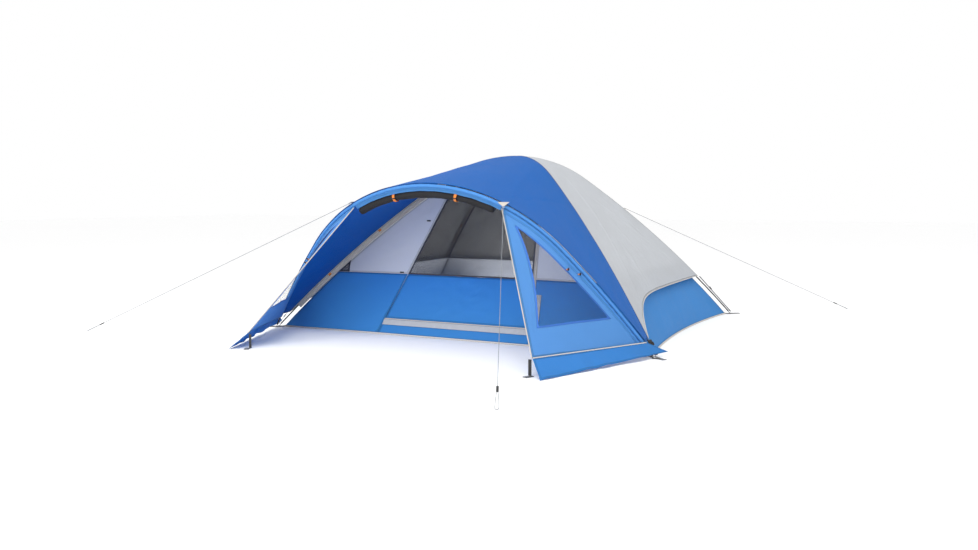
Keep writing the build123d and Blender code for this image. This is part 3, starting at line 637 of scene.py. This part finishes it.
lowS, highS = porch["low"], porch["high"]
border, tall, wide = 12, 48, 24  # grid cells beside, up and across a porch window
for name, sx in (("Left", -1), ("Right", 1)):
    s = np.concatenate([np.linspace(0, lowS, border + 1), np.linspace(lowS, highS, tall + 1)[1:],
                        np.linspace(highS, porch["top"], border + 1)[1:]])
    k = np.clip((s - lowS) / (highS - lowS), 0, 1)
    width = np.linalg.norm(porchSide(sx, s, 0 * s + 1) - porchSide(sx, s, 0 * s), axis=-1)
    b = porch["front"][0] + (porch["front"][1] - porch["front"][0]) * k
    held = np.clip(s, lowS, highS)
    a = np.minimum(porch["margin"] / np.interp(held, s, width), b - 0.02)[:, None]
    b = b[:, None]
    f = np.linspace(0, 1, border + 1)
    r = np.concatenate([a * f, a + (b - a) * np.linspace(0, 1, wide + 1)[1:], b + (1 - b) * f[1:]], 1)
    grid = porchSide(sx, np.repeat(s[:, None], r.shape[1], 1), r)
    calm = 4 * r * (1 - r)
    grid = relief(grid, ripples(grid, 31 + sx, 8, 0.1, 0.5, 0.003) * calm
                  + folds(grid, [(0.5, 0.0, 0.35, 0.9, 0.02, 0.005), (0.9, 0.0, 0.8, 0.5, 0.018, 0.005),
                                 (0.15, 0.0, 0.05, 0.5, 0.02, 0.004)]) * calm)
    i, j = np.meshgrid(np.arange(len(s) - 1), np.arange(r.shape[1] - 1), indexing="ij")
    inWindow = (i >= border) & (i < border + tall) & (j >= border) & (j < border + wide)
    side = "porch_%s_" % name.lower()
    pane = grid[border:border + tall + 1, border:border + wide + 1]
    fabric("porchPanel" + name, grid, "porch_blue", [side + "panel"], keep=~inWindow,
           finish="panelBlue", rests=["porch_pole"], plane=True)
    fabric("porchWindow" + name, pane, "mesh", [side + "window"], thick=netThick, finish="netWindow",
           rests=["porch_pole"], plane=True)
    # sleeve band: the first stretch of the panel beside the arch, just proud of it
    s = np.linspace(0, porch["top"], 121)
    width = np.linalg.norm(porchSide(sx, s, 0 * s + 1) - porchSide(sx, s, 0 * s), axis=-1)
    r = np.linspace(0, 1, 9)[None] * np.minimum(porch["band"] / width, 1)[:, None]
    band = porchSide(sx, np.repeat(s[:, None], 9, 1), r)
    puff = np.sin(math.pi * np.linspace(0, 1, 9))[None] * (0.0035 + 0.0015 * np.sin(s * 150))[:, None]
    band = relief(band, puff + 0.0012, np.array([sx, -0.3, 0.3]))
    # the band takes the lighter copy of porch blue, a painted highlight beside the arch
    fabric("porchBand" + name, band, "porch_blue", away=np.array([sx, -0.3, 0.3]), finish="sleeveBluePaintedHighlight",
           rests=["porch_pole"])
    # skirt: from the panel's lower edge out to the ground, with waves that grow downwards
    r = np.linspace(0, 1, 121)
    k = np.linspace(0, 1, 25)[:, None, None]
    top = between(arch(sx, tent["porchFrom"], tent["porchGap"]),
                  np.array([sx * tent["anchorHalf"], anchorY, porch["footLift"]]), r[:, None])
    low = between(np.array([sx * (halfW + 0.042), tent["middle"] - halfD + 0.092, tent["skirtLift"]]),
                  np.array([sx * (tent["anchorHalf"] + 0.08), anchorY - tent["skirtReach"], 0.002]),
                  r[:, None])
    skirt = between(top, low, k)
    grow = k[..., 0] * (0.35 + 0.65 * np.sin(math.pi * r))
    wave = (np.sin(r * 29 + 1.2 * np.sin(r * 11)) * grow * porch["skirtWave"]
            + ripples(skirt, 41 + sx, 6, 0.05, 0.2, 0.003) * k[..., 0])
    skirt = relief(skirt, wave)
    skirt[..., 2] = np.maximum(skirt[..., 2], 0.0015)
    fabric("porchSkirt" + name, skirt, "porch_blue", ["skirt_" + name.lower()])
print("porch made")

# ---------- inner tent: floor, tub, walls, front ----------

inner = {"rows": 40, "columns": 81, "wrinkle": 0.0045}
frontY = tent["middle"] - cornerY + tent["frontBow"]


def floorSide(sx, u):
    x = sx * (cornerX - tent["sideBow"] * 4 * u * (1 - u))
    return np.stack([x, tent["middle"] + cornerY * (2 * u - 1), tent["cloth"] + 0 * u], -1)


def floorRear(u):
    return np.stack([cornerX * (2 * u - 1), tent["middle"] + cornerY - tent["sideBow"] * 4 * u * (1 - u),
                     tent["cloth"] + 0 * u], -1)


def wall(seamA, seamB, edge, inward, u, t):  # between two ridge seams, its foot on the floor's hollow edge
    u2, t2 = u[None, :, None], t[:, None, None]
    start = np.zeros(1)
    p = between(seamA(t)[:, None], seamB(t)[:, None], u2)
    foot = edge(u)[None] - between(seamA(start)[:, None], seamB(start)[:, None], u2)
    p = p + foot * np.maximum(0, 1 - t2 / tent["tubAt"]) ** 2
    sag = tent["wallSag"] * 4 * u2 * (1 - u2) * np.sin(math.pi * np.minimum(1, t2)) ** 2
    return p + np.array(inward) * sag


walls = {"left": (lambda t: seam(-1, -1, t), lambda t: seam(-1, 1, t), lambda u: floorSide(-1, u), (1, 0, 0)),
         "right": (lambda t: seam(1, -1, t), lambda t: seam(1, 1, t), lambda u: floorSide(1, u), (-1, 0, 0)),
         "rear": (lambda t: seam(-1, 1, t), lambda t: seam(1, 1, t), floorRear, (0, -1, 0))}
u = np.linspace(0, 1, inner["columns"])
lowRows = np.linspace(0, tent["tubAt"], inner["rows"])
highRows = np.linspace(tent["tubAt"], 0.995, 2 * inner["rows"])
for k, (name, (a, b, edge, inward)) in enumerate(walls.items()):
    title = name.capitalize()
    tub = wall(a, b, edge, inward, u, lowRows)
    rise = np.linspace(0, 1, inner["rows"])[:, None]
    calm = np.minimum(1, np.minimum(u, 1 - u) * 8) * np.sin(math.pi * rise)
    tub = relief(tub, ripples(tub, 51 + k, 8, 0.1, 0.5, inner["wrinkle"]) * calm)
    fabric("tub" + title, tub, "tub_blue", replaced=[name + "_tub_wall"], rests=["floor"], lining="lining")
    fabric("netting" + title, wall(a, b, edge, inward, u, highRows), "mesh", replaced=[name + "_upper_wall"],
           thick=netThick, rests=["pole_sleeves"])

doorTopPoint = seam(-1, -1, np.array([tent["doorTopAt"]]))[0]
doorTop = doorTopPoint[2]
doorLean = (doorTopPoint[1] - frontY) / (doorTop - tent["cloth"])
slopeLength = math.hypot(1, doorLean)
doorOut = np.array([0, -1, doorLean]) / slopeLength


def doorHalf(z):
    return tent["doorHalf"] - tent["doorTaper"] * (z - tent["doorBottom"])


def doorFace(x, z, out=0.0):
    p = np.stack([x + 0 * z, frontY + doorLean * (z - tent["cloth"]) + 0 * x, z + 0 * x], -1)
    return p + doorOut * out


def frontSide(sx, rows, columns=25):  # ruled from the ridge seam to the doorway's slanted side
    outer = seam(sx, -1, rows)
    z = outer[:, 2]
    inside = doorFace(sx * doorHalf(z), z)
    return between(outer[:, None], inside[:, None], np.linspace(0, 1, columns)[None, :, None])


for name, sx in (("Left", -1), ("Right", 1)):
    fabric("frontTub" + name, frontSide(sx, lowRows), "tub_blue", replaced=["front_tub_wall"],
           rests=["floor"])
    rows = np.linspace(tent["tubAt"], tent["doorTopAt"], 60)
    panel = frontSide(sx, rows, 31)
    calm = np.sin(math.pi * np.linspace(0, 1, 60))[:, None] * np.sin(math.pi * np.linspace(0, 1, 31))
    creases = folds(panel, [(1, 0.55, 0.2, 0.9, 0.015, 0.005), (1, 0.1, 0.1, 0.4, 0.015, 0.004)])
    panel = relief(panel, (ripples(panel, 61 + sx, 8, 0.08, 0.4, 0.004) + creases) * calm)
    fabric("frontPanel" + name, panel, "panel_grey", replaced=["front_%s_panel" % name.lower()],
           rests=["pole_sleeves"])
vent = {"high": 0.055, "wide": 0.16, "lift": 0.004}
for name, sx in (("Left", -1), ("Right", 1)):  # net corner of the panel: narrows to nothing up the ridge seam
    k = np.linspace(0, 1, 13)
    side = frontSide(sx, tent["tubAt"] + vent["high"] * k, 2)
    share = np.linspace(0.01, 1, 13)[None, :, None] * (vent["wide"] * (1 - 0.98 * k))[:, None, None]
    corner = between(side[:, :1], side[:, 1:], share) + doorOut * vent["lift"]
    fabric("cornerVent" + name, corner, "mesh", away=doorOut, thick=netThick,
           rests=["front_%s_panel" % name.lower()])
z = np.linspace(tent["cloth"], tent["doorBottom"] - 0.0015, 9)[:, None]
x = np.linspace(-1, 1, 61)[None]
fabric("frontSill", doorFace(x * doorHalf(z), z), "tub_blue", replaced=["front_tub_wall"], rests=["floor"])
rows = np.linspace(tent["doorTopAt"], 0.995, 50)
across = np.linspace(0, 1, 61)[None, :, None]
crownNet = between(seam(-1, -1, rows)[:, None], seam(1, -1, rows)[:, None], across)
fabric("nettingCrown", crownNet, "mesh", replaced=["front_crown_panel"], thick=netThick,
       rests=["pole_sleeves"])

# door: lies just inside the wall's plane
door = {"gap": 0.0015, "tape": 0.012, "inside": 0.0025, "fold": 0.004}
tubTop = float(seam(1, -1, np.array([tent["tubAt"]]))[0, 2])
cosTaper = 1 / math.cos(math.atan(tent["doorTaper"] / slopeLength))


def doorGrid(zLow, zHigh, rows, columns=81):
    z = np.linspace(zLow, zHigh, rows)[:, None]
    left = -doorHalf(z) + door["gap"] * cosTaper
    right = doorHalf(z) - (door["gap"] + door["tape"]) * cosTaper
    return doorFace(between(left, right, np.linspace(0, 1, columns)[None]), z, -door["inside"])


topHalf = doorHalf(doorTop)
doorPieces = (("doorCloth", tent["doorBottom"], tubTop, "door_panel", "tub_blue", 71),
              ("doorNet", tubTop, doorTop - door["gap"], "door_mesh", "mesh", 72))
for name, zLow, zHigh, node, kind, seed in doorPieces:
    grid = doorGrid(zLow, zHigh, 33)
    wave = -np.abs(ripples(grid, seed, 7, 0.08, 0.35, door["fold"]))
    grid = grid + doorOut * (wave * np.sin(math.pi * np.linspace(0, 1, 81)))[..., None]
    piece = fabric(name, grid, kind, [node], away=doorOut,
                   thick=0.0008 if kind == "tub_blue" else netThick, body=None)
    -topHalf
    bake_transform(piece)
print("inner tent made, tub top", round(tubTop, 4), "door top", round(float(doorTop), 4))

# ---------- rolled screen door under the porch arch ----------

roll = {"radius": 0.026, "drop": 0.057, "back": 0.017, "from": math.radians(-26), "to": math.radians(24),
        "tie": math.asin(0.225 / archBow.top)}
angle = np.linspace(roll["from"], roll["to"], 181)
radial = np.stack([np.sin(angle), -np.cos(angle) * math.sin(lean), np.cos(angle) * math.cos(lean)], -1)
forward = np.array([0, -math.cos(lean), -math.sin(lean)])
hub = np.array([0, archY, 0]) + np.array([0, -math.sin(lean), math.cos(lean)]) * archBow.topCentre[1]
centre = hub + radial * (archBow.top - roll["drop"]) - forward * roll["back"]
turn = np.linspace(0, 2 * math.pi, 28, endpoint=False)
pinch = sum(np.exp(-((angle - k * roll["tie"]) * archBow.top / 0.028) ** 2) for k in (-1, 1))
ends = np.clip(np.minimum(angle - angle[0], angle[-1] - angle) * archBow.top / 0.02, 0, 1) ** 0.5
bag = (0.90 + 0.035 * np.sin(3 * turn + angle[:, None] * 16)
       + 0.03 * np.sin(5 * turn - angle[:, None] * 41 + 1)
       + 0.02 * np.sin(9 * turn + angle[:, None] * 70))
radius = roll["radius"] * np.minimum(1, bag) * (1 - 0.16 * pinch[:, None]) * (0.75 + 0.25 * ends[:, None])
rings = ringSweep(centre, radial, forward * np.ones_like(radial), radius)
fabricRoll = tubeMesh("rolledScreenDoor", rings, "mesh", ["rolled_screen_door"], finish="roll")

# ---------- piping along hems ----------

piping = {"hem": 0.0032, "ground": 0.0045}


def pipe(name, points, radius, slotName="binding"):  # round piping of one radius along a line of points
    along = unit(np.gradient(points, axis=0))
    side = unit(np.cross(along, (0.03, 0.02, 1.0)))
    rings = ringSweep(points, side, np.cross(side, along), np.full((len(points), 8), radius))
    return tubeMesh(name, rings, slotName, finish="pipingCloth")


u = np.linspace(0, 1, 91)
for name, sx in (("Left", -1), ("Right", 1)):
    edge = floorSide(sx, u)
    edge[:, 2] = piping["ground"] + 0.0006
    pipe("floorPiping" + name, edge, piping["ground"])
    hem = sideHem(u)
    line = between(ridge(sx, -1, hem, flyOut), ridge(sx, 1, hem, flyOut), u[:, None])
    line = line + np.array([-sx, 0, 0]) * (tent["flySag"] * 4 * u * (1 - u) * (1 - hem ** 2))[:, None]
    pipe("hemPiping" + name, line, piping["hem"])
    foot = np.array([sx * tent["anchorHalf"], anchorY, porch["footLift"]])
    low = between(arch(sx, tent["porchFrom"], tent["sleeve"] + 0.004), foot, u[:, None])
    pipe("skirtPiping" + name, low + np.array([sx, -0.4, 0]) * 0.003, piping["hem"])
edge = floorRear(u)
edge[:, 2] = piping["ground"] + 0.0006
pipe("floorPipingRear", edge, piping["ground"])
across = np.linspace(-1, 1, 91)[:, None]
middle = np.array([0, frontY, piping["ground"] + 0.0006])
edge = middle + across * np.array([1, 0, 0]) * (tent["doorHalf"] + 0.02)
edge = np.concatenate([[cornerFloor(-1, -1)], edge, [cornerFloor(1, -1)]]) + np.array([0, -0.002, 0])
edge[:, 2] = piping["ground"] + 0.0006
pipe("floorPipingFront", edge, piping["ground"])
print("piping made")

# ---------- toggles that hold the porch windows' covers ----------

toggle = {"heights": (0.46, 0.50), "length": 0.026, "radius": 0.0045, "loop": 0.010}


def capsule(name, centre, direction, length, radius, slotName, finish):  # straight rod with round ends
    x = np.linspace(-1, 1, 17)
    profile = radius * np.sqrt(np.maximum(0, 1 - np.maximum(0, np.abs(x) - 0.7) ** 2 / 0.0905)) + 1e-5
    points = centre + unit(direction) * (x * length / 2)[:, None]
    first = unit(np.cross(direction, (0.1, 0.2, 1.0)))
    second = unit(np.cross(direction, first))
    rings = ringSweep(points, np.repeat(first[None], 17, 0), np.repeat(second[None], 17, 0),
                      np.repeat(profile[:, None], 12, 1))
    return tubeMesh(name, rings, slotName, finish=finish)


for name, sx in (("Left", -1), ("Right", 1)):
    for k, s in enumerate(toggle["heights"]):
        height = np.array([s])
        ends = [porchSide(sx, height, np.array([r])) for r in (0.0, 1.0)]
        width = np.linalg.norm(ends[1] - ends[0])
        spot = porchSide(sx, height, np.array([(0.030 + 0.045 * k) / width]))[0]
        spot = spot + unit(np.array([sx, -0.55, 0.25])) * 0.012
        capsule("windowToggle%s%d" % (name, k), spot, np.array([0.3 * sx, -0.6, 0.5]), toggle["length"],
                toggle["radius"], "hardware", "hardware")
        capsule("windowLoop%s%d" % (name, k), spot + unit(np.array([-sx, 0.55, -0.25])) * 0.005,
                np.array([0.5, 0.3 * sx, 0.1]), toggle["loop"] * 2, toggle["radius"] * 0.8, "orange", "wrap")

# ---------- guylines and peg loops ----------

guy = {"front_left": (-2.380, -1.42075, 0.009), "front_right": (1.087, -2.15975, 0.009),
       "rear_right": (2.170, 2.16325, 0.009)}
line = {"width": 0.003, "tab": 0.042, "ring": 0.0065, "wire": 0.0014, "loop": 0.095, "tensioner": 0.034,
        "rearAt": 0.566, "rounding": 0.96}


def cordCurve(name, points, width):
    data = bpy.data.curves.new(name, "CURVE")
    data.dimensions = "3D"
    spline = data.splines.new("NURBS")
    spline.points.add(len(points) - 1)
    for point, place in zip(spline.points, points):
        point.co = (*place, 1)
    spline.order_u = 3
    spline.use_endpoint_u = True
    data.resolution_u = 12
    data.bevel_depth = width / 2
    data.bevel_resolution = 3
    data.use_fill_caps = True
    data.materials.append(finishes["cord"])
    piece = addObject(name, data)
    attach(piece, "tent")
    return piece


guyLengths = {}
for name, end in guy.items():
    end = np.array(end)
    if name.startswith("front"):
        start = arch(1 if name.endswith("right") else -1, tent["guyAt"], tent["porchGap"] + 0.003)
    else:
        start = ridge(1, 1, line["rearAt"], flyOut + 0.003)
    aim = unit(end - start)
    across = unit(np.cross(aim, (0, 0, 1)))
    up = np.cross(across, aim)
    first = start + aim * (line["tab"] + 0.009 + line["ring"] + line["wire"]) + up * 0.0008
    knot = end - aim * line["loop"]
    last = knot - aim * line["tensioner"]
    title = "".join(word.capitalize() for word in name.split("_"))
    points = [first, first + aim * 0.018, between(first, last, 0.5), last - aim * 0.018, last]
    cord = cordCurve("guyline" + title, points, line["width"])
    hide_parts("guyline_" + name)
    length = float(np.linalg.norm(last - first))
    guyLengths[name] = round(length, 3)
    cad["tensioner_" + name]
    wide = across * 0.009
    loop = [knot + across * 0.003, knot + across * 0.007 + aim * 0.040, end + wide - aim * 0.008,
            end + wide + aim * 0.010, end - wide + aim * 0.010, end - wide - aim * 0.008,
            knot - across * 0.007 + aim * 0.040, knot - across * 0.003]
    cord = cordCurve("pegLoop" + title, loop, line["width"])
    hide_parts("peg_loop_" + name)
    run = sum(float(np.linalg.norm(b - a)) for a, b in zip(loop, loop[1:]))
    # the loop's corners are rounded, so it is a little shorter than the straight runs between its points
    run * line["rounding"]
print("guylines", guyLengths)

# ---------- finishes on the carried-over parts ----------

plain = {"pole": ["main_pole_upper", "main_pole_lower", "porch_pole"], "steel": ["pole_ferrules", "ring_pins",
         "peg_eyelets", "guy_rings", "door_slider_bottom", "door_slider_side"],
         "webbing": ["corner_straps", "porch_anchor_straps", "fly_straps"],
         "hardware": ["fly_strap_buckles", "fly_hooks", "tensioner_front_left", "tensioner_front_right",
                      "tensioner_rear_right", "toggles"], "cord": ["shock_cords"],
         "tape": ["pole_sleeves", "door_zip_tape", "door_zip_edge", "porch_piping", "guy_tabs"],
         "flap": ["storm_flap"], "wrap": ["pole_wraps", "roll_ties"], "ground": ["floor"]}
for finish, names in plain.items():
    for node in names:
        mesh = cad[node].data
        mesh.materials.clear()
        mesh.materials.append(finishes[finish])

print("sheet sizes", sheetSizes)
